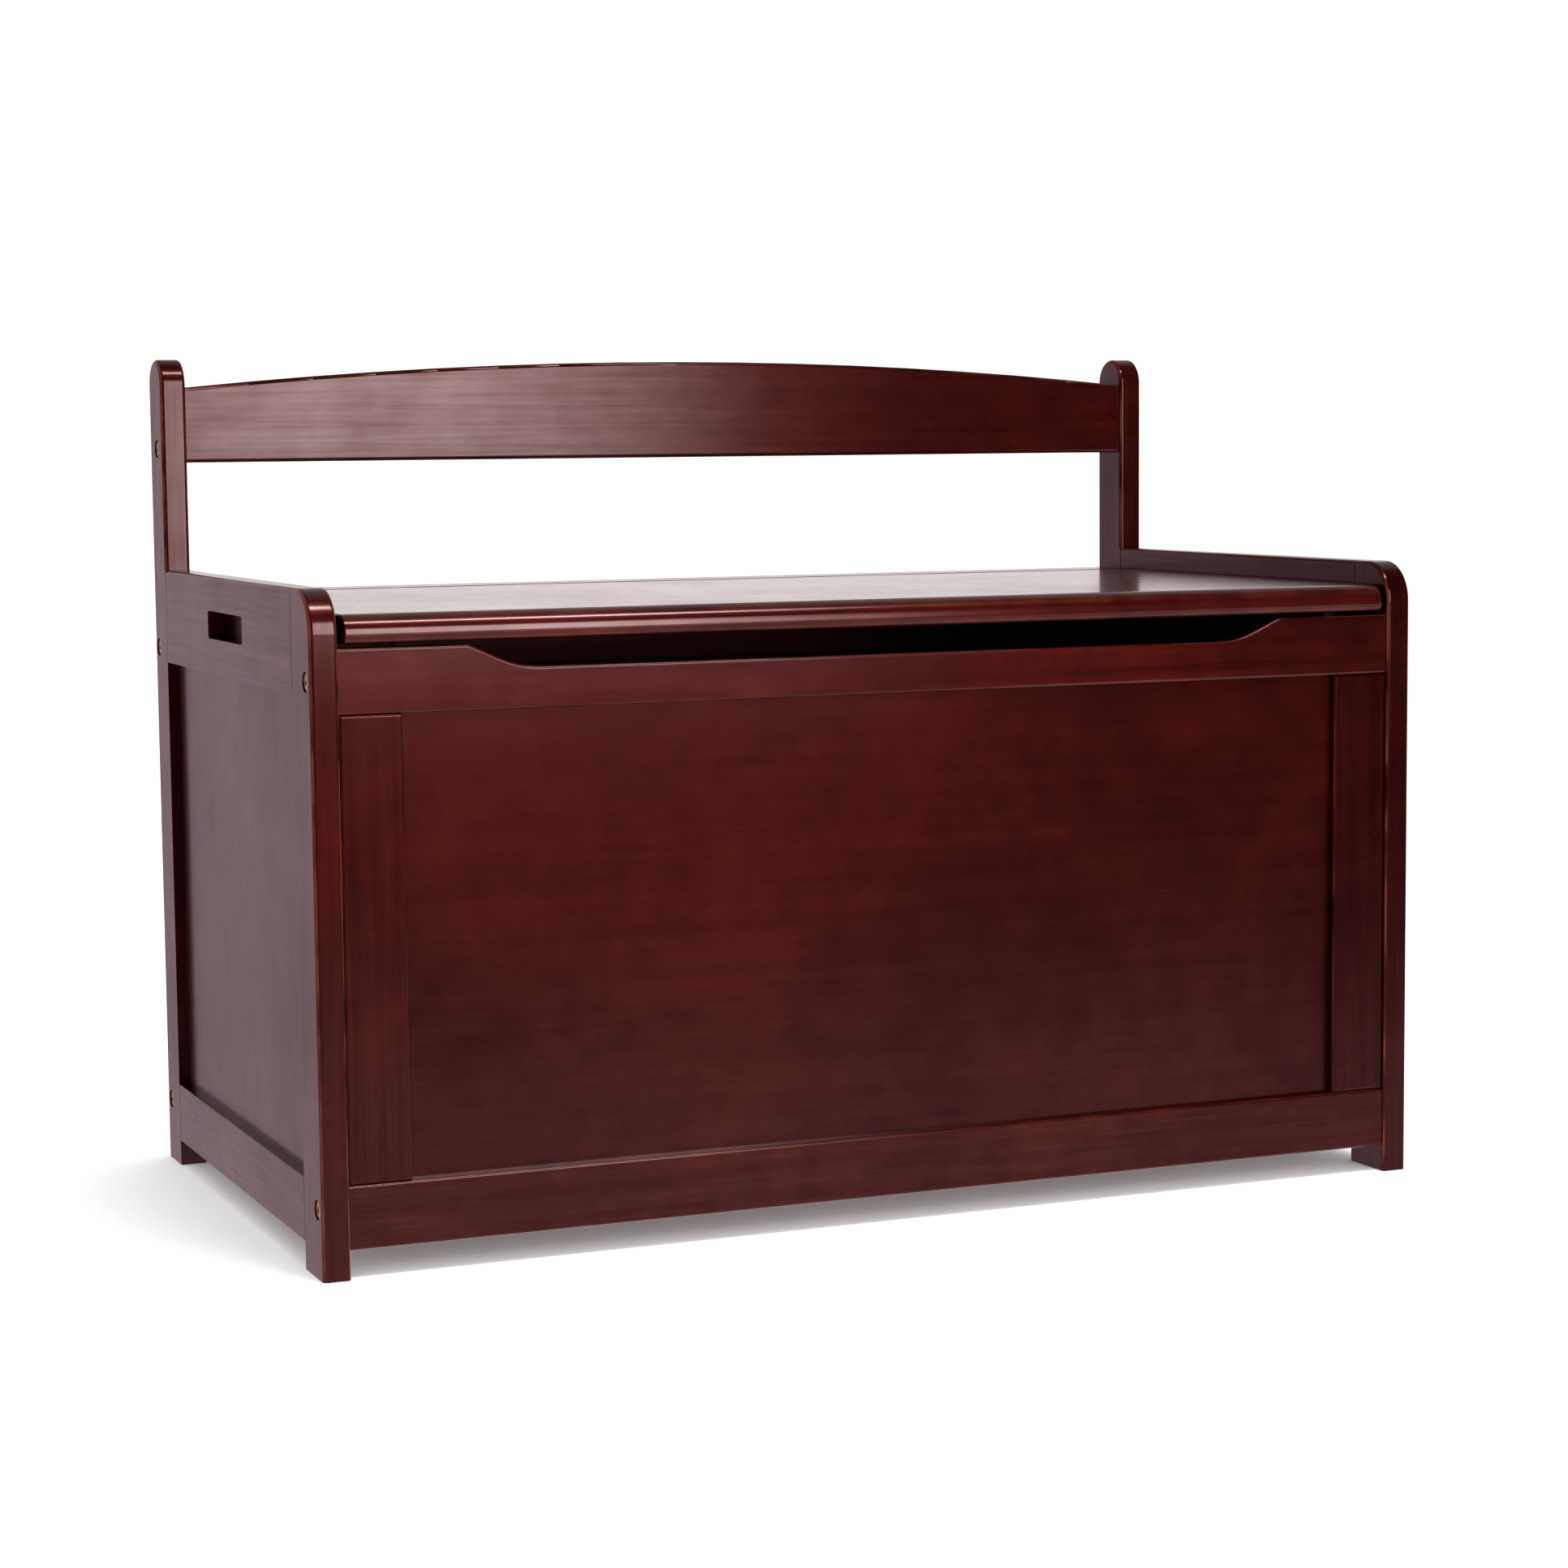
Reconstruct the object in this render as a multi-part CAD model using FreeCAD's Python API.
"""Wooden toy box with a bench back: frame-and-panel case, hinged seat lid and arched backrest.

Millimetres. +Z is up, +Y points to the back, +X to the right of someone facing the front.
The origin is the centre of the footprint on the floor.
"""
import FreeCAD
import Part
import math
import os

# ---- overall sizes -------------------------------------------------------------------------
width = 864.0                # over the outer faces of the side frames
depth = 468.0                # front face of the front posts to rear face of the rear posts
height = 636.0               # top of the rear posts

# ---- side frames ---------------------------------------------------------------------------
frame_thk = 20.0             # posts and rails, across the width
front_post_depth = 46.0
rear_post_depth = 41.0
side_height = 472.0          # top of the side rails and front posts
front_post_nose = 30.0       # radius of the front posts' top front corner
long_edge = 3.0              # rounding of the exposed long edges
joint_ease = 0.8             # bevel that shows a glued joint as a fine line
side_top_rail_h = 72.0
hand_slot_w = 102.0
hand_slot_h = 20.0
hand_slot_depth = 13.5       # a pocket that leaves the rail's inner face whole
hand_slot_corner = 3.0
slot_edge = 1.2              # rounding of the hand slot's mouth

# ---- front and back frames -----------------------------------------------------------------
rail_thk = 20.0
rail_setback = 2.5           # rails stand this far inside the posts' faces
foot_h = 20.0                # clear height under the bottom rails
bottom_rail_h = 45.0
front_top_rail_h = 45.0
stile_w = 45.0
rail_edge = 2.0              # rounding of rail and stile edges
scoop_half = 319.0           # half length of the finger gap along the rail's top edge
scoop_depth = 16.5
scoop_slope = 24.0           # slope of the gap's ends, degrees
scoop_top_r = 12.0
scoop_floor_r = 70.0

# ---- panels --------------------------------------------------------------------------------
panel_thk = 6.0
panel_tongue = 7.0           # how far a panel enters its grooves
groove_extra = 1.0           # room at the bottom of each groove
floor_thk = 9.0
floor_tongue = 5.0
floor_lift = 8.0             # underside of the floor above the rails' underside

# ---- seat, lid and backrest ----------------------------------------------------------------
lid_thk = 20.0
lid_side_gap = 4.5
lid_end_edge = 1.2
lid_nose_top = 13.0          # radius of the front edge, top side
lid_nose_bottom = 6.0
lid_rear_edge = 3.0          # radius of the rear edge, underside
seat_drop = 17.5             # seat below the top of the side rails
seat_edge = 3.0              # rounding at the joint between lid and fixed strip
lid_rest_gap = 2.5           # front rail top to lid underside, filled by the bumpers
strip_depth = 50.0           # fixed strip behind the lid
back_thk = 30.0              # backrest board
back_setback = 3.0
back_bottom_z = 555.5
back_end_h = 58.5            # height of the backrest at its ends
back_rise = 20.0             # extra height at the middle of the arch

# ---- hinges --------------------------------------------------------------------------------
hinge_len = 60.0
hinge_inset = 118.0          # lid end to the centre of an outer hinge
knuckles = 5
knuckle_r = 3.0
knuckle_gap = 0.3            # between knuckles, and round them
pin_r = 1.25
pin_clearance = 0.05         # radial, in the lid leaf's knuckles
leaf_thk = 1.5
leaf_drop = 14.0             # leaf height below the pin
leaf_screw_drop = 8.4        # pin to the leaf's screws
leaf_screw_spread = 22.2     # between neighbouring screws

# ---- quadrant stays ------------------------------------------------------------------------
arm_thk = 2.5
arm_w = 12.0
arm_inset = 8.0              # lid end to the arm's outer face
arm_play = 0.4               # arm in its keeper, radially
arm_side_play = 0.3
foot_w = 19.5                # the arm's foot under the lid
foot_len = 30.0
foot_screw_spread = 10.0     # foot's middle to each screw
keeper_h = 7.0
keeper_half = 12.0           # half length of the keeper's body
keeper_ear = 10.0            # screw ear at each end of the body
keeper_wall = 4.7            # body beyond the arm's inner face
keeper_base = 2.0
keeper_top_gap = 4.0         # below the lid's underside
keeper_slot_gap = 16.0       # hand slot to the keeper
keeper_sweep = 60.0          # angle of the arm's arc that the keeper's slot follows, degrees
stud_r = 3.0
stud_stand = 3.5             # stud beyond each face of the arm
back_clearance = 2.5         # open tip of the arm to the back rail

# ---- fasteners -----------------------------------------------------------------------------
bolt_head_r = 6.5
bolt_head_h = 2.5
bolt_head_edge = 0.6
bolt_recess = 0.4            # head's face below the wood
bolt_bore_r = 7.0
bolt_r = 3.0
bolt_len = 50.0              # under the head
bolt_clear = 0.1
hex_af = 4.0                 # socket across flats
hex_depth = 1.8
barrel_r = 5.0
barrel_len = 14.0
barrel_from_end = 26.0       # rail end to barrel nut
lower_bolt_z = 48.5
back_bolt_up = 11.0          # above the backrest's underside
dowel_r = 4.0
dowel_len = 30.0
small_dowel_r = 3.0
small_dowel_len = 20.0
low_rail_dowel_shares = (0.28, 0.62)     # heights of the frame dowels in the bottom rails
top_rail_dowel_shares = (0.32, 0.74)     # and in the side top rails
strip_dowel_shares = (0.25, 0.8)         # places along half the seat strip
low_pin_drop = 6.0           # locating dowels: below the bottom rails' top
top_pin_rise = 10.0          # above the top rails' underside
top_pin_drop = 9.0           # below the top rails' top
back_pin_drop = 18.0         # below the ends of the backrest
screw_r = 1.35
screw_head_r = 2.75
screw_len = 14.0
screw_cone_share = 0.9       # countersink as a share of the plate's thickness
bumper_r = 5.0
bumper_gap = 0.1             # bumper to closed lid
past = 1.0                   # holes are cut this far past a face

# ---- derived places ------------------------------------------------------------------------
side = width / 2                         # outer face
inner = side - frame_thk                 # inner face of the side frames
front, back = -depth / 2, depth / 2
front_joint = front + front_post_depth   # post to side rail
rear_joint = back - rear_post_depth
side_mid = side - frame_thk / 2
rail_front = front + rail_setback
rail_front_in = rail_front + rail_thk
front_mid = rail_front + rail_thk / 2
rail_back = back - rail_setback
rail_back_in = rail_back - rail_thk
back_mid = rail_back - rail_thk / 2
low_top = foot_h + bottom_rail_h
side_rail_z = side_height - side_top_rail_h
lid_end = inner - lid_side_gap

knuckle_clear = knuckle_r + knuckle_gap
strip_front = back - strip_depth
axis_y = strip_front - knuckle_clear
lid_rear = axis_y - knuckle_clear
seat_top = side_height - seat_drop
lid_under = seat_top - lid_thk
axis_z = seat_top - knuckle_clear
front_rail_top = lid_under - lid_rest_gap
top_rail_z = front_rail_top - front_top_rail_h
upper_bolt_z = front_rail_top - front_top_rail_h / 2
back_upper_bolt_z = (top_rail_z + lid_under) / 2
back_front = rear_joint + back_setback
back_centre = back_front + back_thk / 2
back_bolt_z = back_bottom_z + back_bolt_up
hinge_xs = {"left": -(lid_end - hinge_inset), "middle": 0.0, "right": lid_end - hinge_inset}

slot_y = (front_joint + rear_joint) / 2
slot_z = side_rail_z + side_top_rail_h / 2
keeper_reach = keeper_half + keeper_ear
keeper_y = slot_y + hand_slot_w / 2 + keeper_slot_gap + keeper_reach
keeper_z1 = lid_under - keeper_top_gap
keeper_z0 = keeper_z1 - keeper_h
arm_out = lid_end - arm_inset            # outer face of the arm, from the middle
arm_in = arm_out - arm_thk
arm_r = math.hypot(axis_y - keeper_y, axis_z - (keeper_z0 + keeper_z1) / 2)
tip_y = rail_back_in - back_clearance - axis_y
stud_angle = 90 + math.degrees(math.asin(tip_y / (arm_r + arm_w / 2)) - math.asin(arm_w / 2 / arm_r))
stop_angle = math.degrees(math.asin((axis_z - keeper_z0 + stud_r) / arm_r))
open_angle = stud_angle - stop_angle     # where the studs meet the keepers
foot_y = axis_y - math.sqrt(arm_r ** 2 - (axis_z - lid_under) ** 2)


# ---- helpers -------------------------------------------------------------------------------
def vec(x, y, z):
    return FreeCAD.Vector(x, y, z)


def box(x0, x1, y0, y1, z0, z1):
    low = vec(min(x0, x1), min(y0, y1), min(z0, z1))
    return Part.makeBox(abs(x1 - x0), abs(y1 - y0), abs(z1 - z0), low)


def rod(radius, start, end):
    run = end - start
    return Part.makeCylinder(radius, run.Length, start, run)


def mirror(shape):
    return shape.mirror(vec(0, 0, 0), vec(1, 0, 0))


def both_sides(shape):
    return [shape, mirror(shape)]


def fuse(shapes):
    return shapes[0].multiFuse(shapes[1:]).removeSplitter() if len(shapes) > 1 else shapes[0]


def cut(shape, tools):
    return shape.cut(Part.makeCompound(tools)) if tools else shape


def outline(plane, items):
    """A face from corner points; an item with three numbers is a corner rounded to that radius."""
    points = [vec(*plane(item[0], item[1])) for item in items]
    count = len(items)
    entry, leave, middle = [], [], []
    for i, item in enumerate(items):
        corner = points[i]
        if len(item) < 3:
            entry.append(corner)
            leave.append(corner)
            middle.append(None)
            continue
        back_dir = (points[i - 1] - corner).normalize()
        on_dir = (points[(i + 1) % count] - corner).normalize()
        half = back_dir.getAngle(on_dir) / 2
        run = item[2] / math.tan(half)
        entry.append(corner + back_dir * run)
        leave.append(corner + on_dir * run)
        bisector = (back_dir + on_dir).normalize()
        middle.append(corner + bisector * (item[2] / math.sin(half) - item[2]))
    edges = []
    for i in range(count):
        if middle[i] is not None:
            edges.append(Part.Arc(entry[i], middle[i], leave[i]).toShape())
        following = entry[(i + 1) % count]
        if (following - leave[i]).Length > 1e-6:
            edges.append(Part.LineSegment(leave[i], following).toShape())
    return Part.Face(Part.Wire(edges))


def yz_solid(x0, x1, items):
    return outline(lambda y, z: (x0, y, z), items).extrude(vec(x1 - x0, 0, 0))


def xz_solid(y0, y1, items):
    return outline(lambda x, z: (x, y0, z), items).extrude(vec(0, y1 - y0, 0))


def round_edges(shape, radius, wanted):
    chosen = [e for e in shape.Edges if wanted(e.BoundBox)]
    return shape.makeFillet(radius, chosen)


def near(a, b):
    return abs(a - b) < 1e-3


def flat_at(low, high, value):
    return near(low, value) and near(high, value)


# ---- side frames (built on the left, mirrored to the right) ---------------------------------
def side_panel(extra=0.0):
    reach = panel_tongue + extra
    half = panel_thk / 2
    return box(-side_mid - half, -side_mid + half, front_joint - reach, rear_joint + reach,
               low_top - reach, side_rail_z + reach)


def side_dowels():
    dowels = []
    heights = [foot_h + share * bottom_rail_h for share in low_rail_dowel_shares]
    heights += [side_rail_z + share * side_top_rail_h for share in top_rail_dowel_shares]
    for joint in (front_joint, rear_joint):
        for z in heights:
            middle = vec(-side_mid, joint, z)
            half = vec(0, dowel_len / 2, 0)
            dowels.append(rod(dowel_r, middle - half, middle + half))
    return dowels


def floor_board(extra=0.0):
    """The floor: tongues in the four bottom rails, corners notched round the posts."""
    reach = floor_tongue + extra
    z0 = foot_h + floor_lift
    z1 = z0 + floor_thk
    across = box(-inner, inner, rail_front_in - reach, rail_back_in + reach, z0, z1)
    along = box(-inner - reach, inner + reach, front_joint + groove_extra - extra,
                rear_joint - groove_extra + extra, z0, z1)
    return fuse([across, along])


def bolt_places():
    """Left ends of the bolts: depth, height, and the way the barrel nut's hole opens."""
    return [(front_mid, upper_bolt_z, 1), (front_mid, lower_bolt_z, 1),
            (back_mid, back_upper_bolt_z, -1), (back_mid, lower_bolt_z, -1),
            (back_centre, back_bolt_z, 1)]


def bolt_cutters():
    cutters = []
    seat = bolt_recess + bolt_head_h
    for y, z, _ in bolt_places():
        cutters.append(rod(bolt_bore_r, vec(-side - past, y, z), vec(-side + seat, y, z)))
        cutters.append(rod(bolt_r + bolt_clear, vec(-side, y, z),
                           vec(-side + seat + bolt_len + past, y, z)))
    return cutters


def bolt():
    """One bolt on the origin, head's face at x = 0, pointing to +X."""
    head = Part.makeCylinder(bolt_head_r, bolt_head_h, vec(0, 0, 0), vec(1, 0, 0))
    head = round_edges(head, bolt_head_edge, lambda b: flat_at(b.XMin, b.XMax, 0))
    shank = rod(bolt_r, vec(0, 0, 0), vec(bolt_head_h + bolt_len, 0, 0))
    corner_r = hex_af / math.sqrt(3)
    turns = [math.radians(60 * i) for i in range(7)]
    corners = [vec(0, corner_r * math.cos(turn), corner_r * math.sin(turn)) for turn in turns]
    socket = Part.Face(Part.makePolygon(corners)).extrude(vec(hex_depth, 0, 0))
    return fuse([head, shank]).cut(socket)


def barrel_spot(y, z):
    return vec(-inner + barrel_from_end, y, z)


def barrel_cutters():
    """Holes for the barrel nuts, open to the hidden face of each rail."""
    cutters = []
    for y, z, way in bolt_places():
        spot = barrel_spot(y, z)
        cutters.append(rod(barrel_r, spot - vec(0, way * barrel_len / 2, 0),
                           spot + vec(0, way * back_thk, 0)))
    return cutters


def barrel_nuts():
    nuts = []
    for y, z, _ in bolt_places():
        spot = barrel_spot(y, z)
        half = vec(0, barrel_len / 2, 0)
        reach = vec(barrel_r + past, 0, 0)
        bore = rod(bolt_r, spot - reach, spot + reach)
        nuts.append(rod(barrel_r, spot - half, spot + half).cut(bore))
    return nuts


def locating_dowels():
    """Dowels beside the bolts, from the left posts into the rails' ends."""
    low, middle = low_top - low_pin_drop, top_rail_z + top_pin_rise
    heights = {front_mid: (low, middle, front_rail_top - top_pin_drop),
               back_mid: (low, middle, lid_under - top_pin_drop),
               back_centre: (back_bottom_z + back_end_h - back_pin_drop,)}
    half = vec(small_dowel_len / 2, 0, 0)
    return [rod(small_dowel_r, vec(-inner, y, z) - half, vec(-inner, y, z) + half)
            for y, zs in heights.items() for z in zs]


def front_post():
    body = yz_solid(-side, -inner, [(front, 0), (front, side_height, front_post_nose),
                                    (front_joint, side_height), (front_joint, 0)])

    def exposed(b):
        on_face = flat_at(b.XMin, b.XMax, -side) or flat_at(b.XMin, b.XMax, -inner)
        return on_face and not flat_at(b.YMin, b.YMax, front_joint) and not flat_at(b.ZMin, b.ZMax, 0)
    return round_edges(body, long_edge, exposed)


def rear_post():
    nose = rear_post_depth / 2
    lower = box(-side, -inner, rear_joint, back, 0, side_height)
    lower = round_edges(lower, long_edge, lambda b: flat_at(b.YMin, b.YMax, back) and b.ZLength > 1)
    spring = height - nose
    left, right = vec(-side, rear_joint, spring), vec(-side, back, spring)
    arch = Part.Arc(left, vec(-side, rear_joint + nose, height), right).toShape()
    legs = Part.makePolygon([right, vec(-side, back, side_height),
                             vec(-side, rear_joint, side_height), left])
    upper = Part.Face(Part.Wire([arch] + legs.Edges)).extrude(vec(frame_thk, 0, 0))

    def exposed(b):
        on_face = flat_at(b.XMin, b.XMax, -side) or flat_at(b.XMin, b.XMax, -inner)
        return on_face and not flat_at(b.ZMin, b.ZMax, side_height)
    return fuse([lower, round_edges(upper, long_edge, exposed)])


def hand_slot():
    """The pocket for the fingers in a side top rail, open to the outside."""
    y0, y1 = slot_y - hand_slot_w / 2, slot_y + hand_slot_w / 2
    z0, z1 = slot_z - hand_slot_h / 2, slot_z + hand_slot_h / 2
    r = hand_slot_corner
    return yz_solid(-side - past, -side + hand_slot_depth,
                    [(y0, z0, r), (y1, z0, r), (y1, z1, r), (y0, z1, r)])


def side_rail(z0, z1, top_edge):
    """A rail between the posts, with eased ends and its two top edges rounded."""
    ease = joint_ease
    plan = outline(lambda x, y: (x, y, z0), [
        (-side + ease, front_joint), (-side, front_joint + ease), (-side, rear_joint - ease),
        (-side + ease, rear_joint), (-inner - ease, rear_joint), (-inner, rear_joint - ease),
        (-inner, front_joint + ease), (-inner - ease, front_joint)])
    body = plan.extrude(vec(0, 0, z1 - z0))

    def top_long(b):
        return flat_at(b.ZMin, b.ZMax, z1) and b.YLength > side_top_rail_h
    return round_edges(body, top_edge, top_long)


def side_top_rail():
    body = side_rail(side_rail_z, side_height, long_edge).cut(hand_slot())

    def mouth(b):
        inside = b.YMin > slot_y - hand_slot_w and b.YMax < slot_y + hand_slot_w
        return flat_at(b.XMin, b.XMax, -side) and inside and b.ZMin > side_rail_z + past
    return round_edges(body, slot_edge, mouth)


# ---- front and back frames -----------------------------------------------------------------
def frame_panel(y_mid, extra=0.0):
    reach = panel_tongue + extra
    half_x = inner - stile_w + reach
    return box(-half_x, half_x, y_mid - panel_thk / 2, y_mid + panel_thk / 2,
               low_top - reach, top_rail_z + reach)


def stile(y_mid, shown):
    """A left stile; shown is -1 for the front frame and +1 for the back frame."""
    face = y_mid + shown * rail_thk / 2
    body = box(-inner, -inner + stile_w, y_mid - rail_thk / 2, y_mid + rail_thk / 2, low_top, top_rail_z)
    return round_edges(body, rail_edge, lambda b: flat_at(b.YMin, b.YMax, face))


def stile_dowels(y_mid):
    dowels = []
    for z in (low_top, top_rail_z):
        middle = vec(-inner + stile_w / 2, y_mid, z)
        half = vec(0, 0, small_dowel_len / 2)
        dowels += both_sides(rod(small_dowel_r, middle - half, middle + half))
    return dowels


def plain_rail(y_mid, z0, z1):
    y0, y1 = y_mid - rail_thk / 2, y_mid + rail_thk / 2
    corners = [(y0, z0, rail_edge), (y0, z1, rail_edge), (y1, z1, rail_edge), (y1, z0, rail_edge)]
    return yz_solid(-inner, inner, corners)


def scooped_rail():
    """The front top rail: a long shallow finger gap with S-shaped ends in its top edge."""
    floor_z = front_rail_top - scoop_depth
    run = scoop_depth / math.tan(math.radians(scoop_slope))
    y0, y1 = front_mid - rail_thk / 2, front_mid + rail_thk / 2
    body = xz_solid(y0, y1, [
        (-inner, top_rail_z), (-inner, front_rail_top),
        (-scoop_half, front_rail_top, scoop_top_r), (-scoop_half + run, floor_z, scoop_floor_r),
        (scoop_half - run, floor_z, scoop_floor_r), (scoop_half, front_rail_top, scoop_top_r),
        (inner, front_rail_top), (inner, top_rail_z)])

    def long_edges(b):
        on_face = flat_at(b.YMin, b.YMax, y0) or flat_at(b.YMin, b.YMax, y1)
        return on_face and b.XLength > 1e-3
    return round_edges(body, rail_edge, long_edges)


# ---- seat, lid and backrest ----------------------------------------------------------------
def lid_board():
    body = yz_solid(-lid_end, lid_end, [
        (front, lid_under, lid_nose_bottom), (front, seat_top, lid_nose_top),
        (lid_rear, seat_top, seat_edge), (lid_rear, lid_under, lid_rear_edge)])
    return round_edges(body, lid_end_edge, lambda b: b.XLength < 1e-3)


def seat_strip():
    return yz_solid(-inner, inner, [
        (strip_front, lid_under, rail_edge), (strip_front, seat_top, seat_edge),
        (back, seat_top, seat_edge), (back, lid_under, rail_edge)])


def strip_dowels():
    dowels = []
    for share in strip_dowel_shares:
        middle = vec(-inner * share, back_mid, lid_under)
        half = vec(0, 0, small_dowel_len / 2)
        dowels += both_sides(rod(dowel_r, middle - half, middle + half))
    return dowels


def backrest():
    """A board with a straight lower edge and an arched upper edge."""
    end_z = back_bottom_z + back_end_h
    arch = Part.Arc(vec(-inner, back_front, end_z), vec(0, back_front, end_z + back_rise),
                    vec(inner, back_front, end_z)).toShape()
    legs = Part.makePolygon([vec(inner, back_front, end_z), vec(inner, back_front, back_bottom_z),
                             vec(-inner, back_front, back_bottom_z), vec(-inner, back_front, end_z)])
    body = Part.Face(Part.Wire([arch] + legs.Edges)).extrude(vec(0, back_thk, 0))
    return round_edges(body, long_edge, lambda b: b.XLength > inner and b.YLength < 1e-3)


# ---- hinges --------------------------------------------------------------------------------
def knuckle_spans(centre, first):
    """Every second knuckle, starting with the first or the second."""
    pitch = hinge_len / knuckles
    start = centre - hinge_len / 2
    return [(start + i * pitch + knuckle_gap / 2, start + (i + 1) * pitch - knuckle_gap / 2)
            for i in range(first, knuckles, 2)]


def axis_rod(radius, x0, x1):
    return rod(radius, vec(x0, axis_y, axis_z), vec(x1, axis_y, axis_z))


def hinge_leaf(centre, way, first, bore_r):
    """A leaf on the strip's edge (way +1) or on the lid's edge (way -1)."""
    outer = axis_y + way * knuckle_clear
    plate = box(centre - hinge_len / 2, centre + hinge_len / 2, outer - way * leaf_thk, outer,
                axis_z - leaf_drop, axis_z)
    others = [axis_rod(knuckle_clear, x0 - knuckle_gap, x1 + knuckle_gap)
              for x0, x1 in knuckle_spans(centre, 1 - first)]
    own = [axis_rod(knuckle_r, x0, x1) for x0, x1 in knuckle_spans(centre, first)]
    body = fuse([cut(plate, others)] + own)
    bore = axis_rod(bore_r, centre - hinge_len, centre + hinge_len)
    return cut(body, [bore] + leaf_screws(centre, way))


def screw(start, way, grip):
    """Countersunk screw: head's face at start, pointing along way, through a plate of thickness grip."""
    tip = start + way * (grip + screw_len)
    cone = Part.makeCone(screw_head_r, screw_r, grip * screw_cone_share, start, way)
    return fuse([cone, rod(screw_r, start, tip)])


def leaf_screws(centre, way):
    face = axis_y + way * (knuckle_clear - leaf_thk)
    return [screw(vec(centre + offset, face, axis_z - leaf_screw_drop), vec(0, way, 0), leaf_thk)
            for offset in (-leaf_screw_spread, 0, leaf_screw_spread)]


# ---- quadrant stays (left; the right one is its mirror image) --------------------------------
def on_arc(angle, radius=None):
    """A point on the stay's arc, angle below the closed lid, as (y, z)."""
    r = arm_r if radius is None else radius
    a = math.radians(angle)
    return axis_y - r * math.cos(a), axis_z - r * math.sin(a)


def arc_band(half_w, x0, x1, angle0, angle1):
    """Part of a ring round the hinge axis, between two angles below the closed lid."""
    ring = axis_rod(arm_r + half_w, x0, x1).cut(axis_rod(arm_r - half_w, x0, x1))
    reach = 3 * arm_r
    steps = [angle0, (angle0 + angle1) / 2, angle1]
    wedge = yz_solid(x0, x1, [(axis_y, axis_z)] + [on_arc(a, reach) for a in steps])
    return ring.common(wedge)


def stay_arm():
    x0, x1 = -arm_out, -arm_in
    band = arc_band(arm_w / 2, x0, x1, 0, stud_angle)
    band = band.cut(box(x0 - past, x1 + past, axis_y - 2 * arm_r, axis_y, lid_under, axis_z + past))
    tip_at = on_arc(stud_angle)
    tip = rod(arm_w / 2, vec(x0, *tip_at), vec(x1, *tip_at))
    foot = box(x0, x0 + foot_w, foot_y - foot_len / 2, foot_y + foot_len / 2,
               lid_under - arm_thk, lid_under)
    hole = rod(stud_r, vec(x0 - past, *tip_at), vec(x1 + past, *tip_at))
    return cut(fuse([band, tip, foot]), [hole] + foot_screws())


def foot_screws():
    x = -arm_out + arm_thk + (foot_w - arm_thk) / 2
    z = lid_under - arm_thk
    return [screw(vec(x, foot_y + offset, z), vec(0, 0, 1), arm_thk)
            for offset in (-foot_screw_spread, foot_screw_spread)]


def stay_stud():
    tip_at = on_arc(stud_angle)
    return rod(stud_r, vec(-arm_out - stud_stand, *tip_at), vec(-arm_in + stud_stand, *tip_at))


def stay_keeper():
    """Friction guide on the side rail; the arm slides through its curved slot."""
    ears = box(-inner, -inner + keeper_base, keeper_y - keeper_reach, keeper_y + keeper_reach,
               keeper_z0, keeper_z1)
    body = box(-inner, -arm_in + keeper_wall, keeper_y - keeper_half, keeper_y + keeper_half,
               keeper_z0, keeper_z1)
    slot = arc_band(arm_w / 2 + arm_play, -arm_out - arm_side_play, -arm_in + arm_side_play,
                    0, keeper_sweep)
    return cut(fuse([ears, body]), [slot] + keeper_screws())


def keeper_screws():
    z = (keeper_z0 + keeper_z1) / 2
    spots = (keeper_y - keeper_reach + keeper_ear / 2, keeper_y + keeper_reach - keeper_ear / 2)
    return [screw(vec(-inner + keeper_base, y, z), vec(-1, 0, 0), keeper_base) for y in spots]


def bumpers():
    spot = (inner + scoop_half) / 2
    top = lid_under - bumper_gap
    return both_sides(rod(bumper_r, vec(-spot, front_mid, front_rail_top), vec(-spot, front_mid, top)))


# ---- assembly ------------------------------------------------------------------------------
def case_parts():
    left = {"front_post": front_post(), "rear_post": rear_post(), "side_top_rail": side_top_rail(),
            "side_bottom_rail": side_rail(foot_h, low_top, joint_ease)}
    holes = side_dowels() + locating_dowels() + bolt_cutters()
    holes += [side_panel(groove_extra), floor_board(groove_extra)] + keeper_screws()
    parts = {}
    for name, shape in left.items():
        shape = cut(shape, holes)
        parts["left_" + name], parts["right_" + name] = both_sides(shape)
    parts["left_side_panel"], parts["right_side_panel"] = both_sides(side_panel())

    holes = [hole for tool in locating_dowels() + bolt_cutters() + barrel_cutters()
             for hole in both_sides(tool)]
    holes += stile_dowels(front_mid) + stile_dowels(back_mid) + strip_dowels() + [floor_board(groove_extra)]
    holes += [frame_panel(front_mid, groove_extra), frame_panel(back_mid, groove_extra)]
    parts["front_top_rail"] = cut(scooped_rail(), holes)
    parts["front_bottom_rail"] = cut(plain_rail(front_mid, foot_h, low_top), holes)
    parts["back_top_rail"] = cut(plain_rail(back_mid, top_rail_z, lid_under), holes)
    parts["back_bottom_rail"] = cut(plain_rail(back_mid, foot_h, low_top), holes)
    for name, y_mid, shown in (("front", front_mid, -1), ("back", back_mid, 1)):
        shape = cut(stile(y_mid, shown), holes)
        parts[name + "_left_stile"], parts[name + "_right_stile"] = both_sides(shape)
        parts[name + "_panel"] = frame_panel(y_mid)
    parts["floor_panel"] = floor_board()
    parts["backrest"] = cut(backrest(), holes)

    screws = [s for x in hinge_xs.values() for s in leaf_screws(x, 1)]
    parts["seat_strip"] = cut(seat_strip(), strip_dowels() + screws)
    return parts


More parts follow.
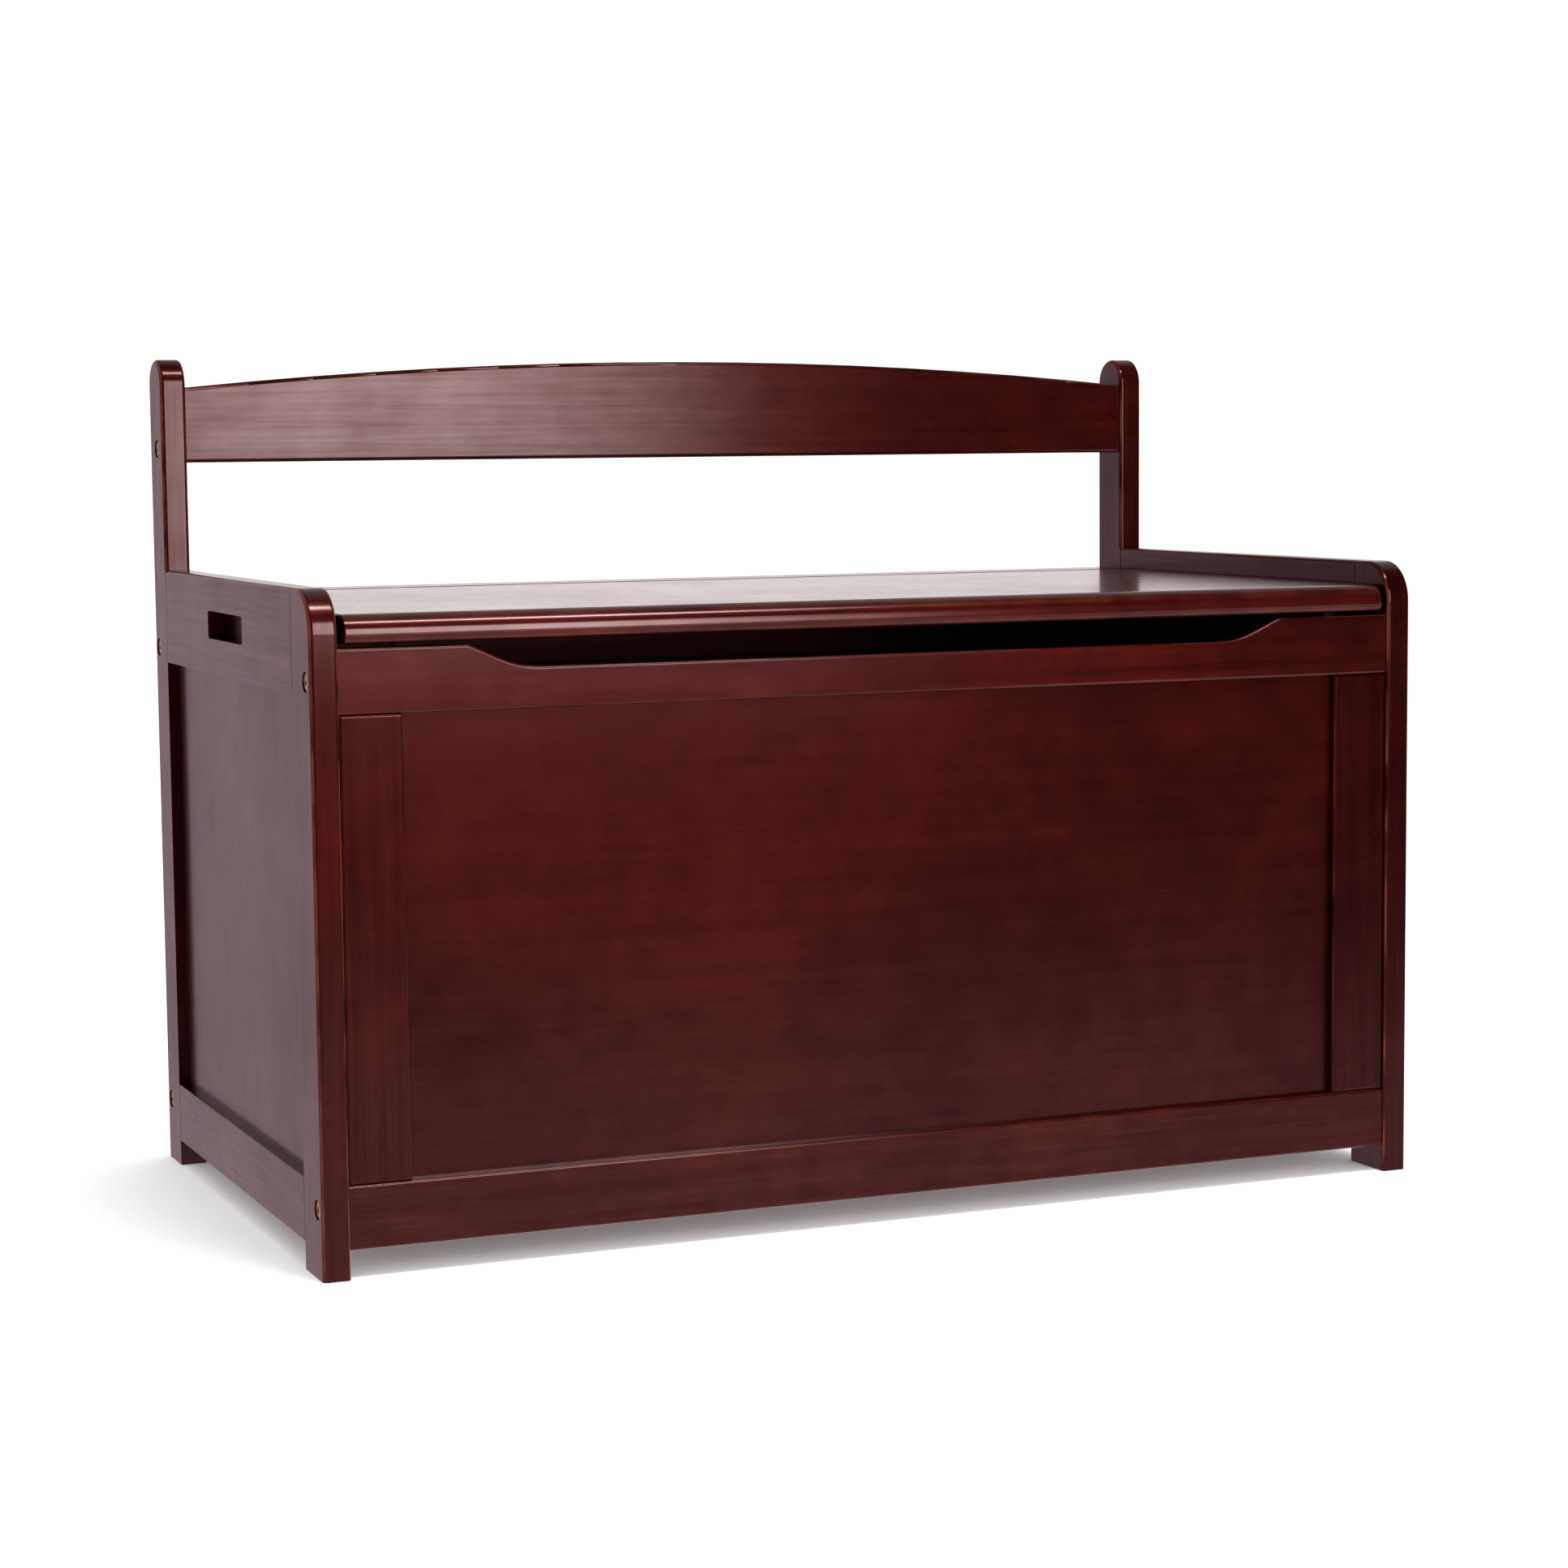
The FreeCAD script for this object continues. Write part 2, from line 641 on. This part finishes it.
def lid_parts():
    screws = [s for x in hinge_xs.values() for s in leaf_screws(x, -1)]
    feet = [s for tool in foot_screws() for s in both_sides(tool)]
    arm = stay_arm()
    return {"lid_board": cut(lid_board(), screws + feet),
            "left_stay_arm": arm, "right_stay_arm": mirror(arm),
            "left_stay_stud": stay_stud(), "right_stay_stud": mirror(stay_stud()),
            "hinge_screws_lid": Part.makeCompound(screws), "stay_screws_lid": Part.makeCompound(feet)}


def hardware():
    parts = {}
    for name, x in hinge_xs.items():
        parts[name + "_hinge_fixed_leaf"] = hinge_leaf(x, 1, 0, pin_r)
        parts[name + "_hinge_lid_leaf"] = hinge_leaf(x, -1, 1, pin_r + pin_clearance)
        parts[name + "_hinge_pin"] = axis_rod(pin_r, x - hinge_len / 2, x + hinge_len / 2)
    keeper = stay_keeper()
    parts["left_stay_keeper"], parts["right_stay_keeper"] = both_sides(keeper)
    one_bolt = bolt()
    bolts = [one_bolt.translated(vec(-side + bolt_recess, y, z)) for y, z, _ in bolt_places()]
    groups = {
        "frame_bolts": [b for left in bolts for b in both_sides(left)],
        "barrel_nuts": [n for left in barrel_nuts() for n in both_sides(left)],
        "locating_dowels": [d for left in locating_dowels() for d in both_sides(left)],
        "left_frame_dowels": side_dowels(),
        "right_frame_dowels": [mirror(d) for d in side_dowels()],
        "front_frame_dowels": stile_dowels(front_mid),
        "back_frame_dowels": stile_dowels(back_mid),
        "seat_strip_dowels": strip_dowels(),
        "hinge_screws_case": [s for x in hinge_xs.values() for s in leaf_screws(x, 1)],
        "stay_screws_case": [s for left in keeper_screws() for s in both_sides(left)],
        "lid_bumpers": bumpers()}
    for name, shapes in groups.items():
        parts[name] = Part.makeCompound(shapes)
    return parts


def main():
    os.makedirs("parts", exist_ok=True)
    parts = {**case_parts(), **lid_parts(), **hardware()}
    for name, shape in parts.items():
        shape.exportStep(os.path.join("parts", name + ".step"))
    print(len(parts), "nodes; hinge axis at y", round(axis_y, 2), "z", round(axis_z, 2))
    print("stay radius", round(arm_r, 2), "studs meet the keepers at", round(open_angle, 2), "degrees")


main()
